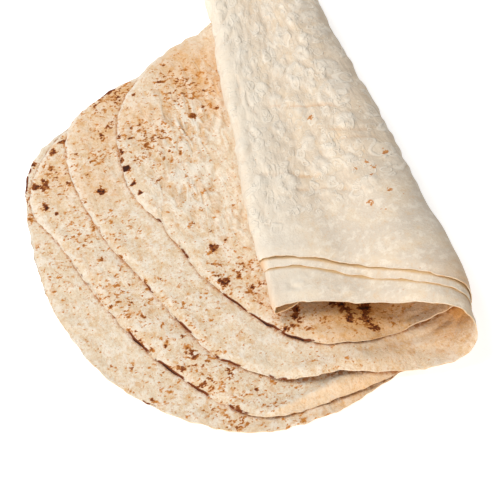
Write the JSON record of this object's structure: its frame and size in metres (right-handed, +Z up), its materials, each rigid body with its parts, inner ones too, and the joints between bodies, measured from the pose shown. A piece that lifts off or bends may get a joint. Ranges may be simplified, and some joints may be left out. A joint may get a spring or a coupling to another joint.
{
  "type": "folded lavash flatbread",
  "caption": "Thin soft oval flatbreads, fanned out, rolled over together in a loose open fold and tucked under along one side.",
  "frame": {"origin": "middle of the footprint, on the surface that the bread lies on", "axes": "+Y along the main fold from its open front end to the back, +X towards the fold, +Z up"},
  "size_m": [0.3053, 0.4365, 0.0467],
  "materials": {
    "bottom_crust": "matt floury bread crust with small brown spots",
    "second_crust": "matt floury bread crust with small brown spots",
    "third_crust": "matt floury bread crust with a few dark spots",
    "top_crust": "matt floury bread crust with small brown spots"
  },
  "bodies": {
    "root": {"sheet_bottom": "bottom_crust", "sheet_second": "second_crust", "sheet_third": "third_crust", "sheet_top": "top_crust"}
  },
  "joints": []
}
